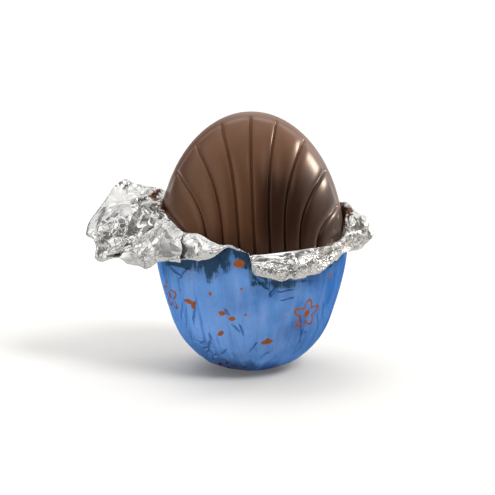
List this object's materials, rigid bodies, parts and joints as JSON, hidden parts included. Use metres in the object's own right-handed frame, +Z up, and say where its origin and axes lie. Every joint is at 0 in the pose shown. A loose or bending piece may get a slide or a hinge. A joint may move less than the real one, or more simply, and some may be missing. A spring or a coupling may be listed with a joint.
{
  "type": "foil-wrapped chocolate egg",
  "caption": "Chocolate egg moulded with a fan of rounded fingers, standing in a printed foil wrapper that is torn open and peeled back.",
  "frame": {"origin": "middle of the small flat spot that the wrapped egg stands on", "axes": "+Z up along the egg, -Y towards the side where the foil is peeled open, +X to the right of someone who looks at that side"},
  "size_m": [0.0529, 0.038, 0.0483],
  "materials": {
    "chocolate": "moulded milk to dark chocolate with a soft satin gloss",
    "foil": "thin crumpled foil, printed blue outside and bare silver inside"
  },
  "bodies": {
    "root": {"chocolate_egg": "chocolate", "foil_wrapper": "foil"}
  },
  "joints": []
}
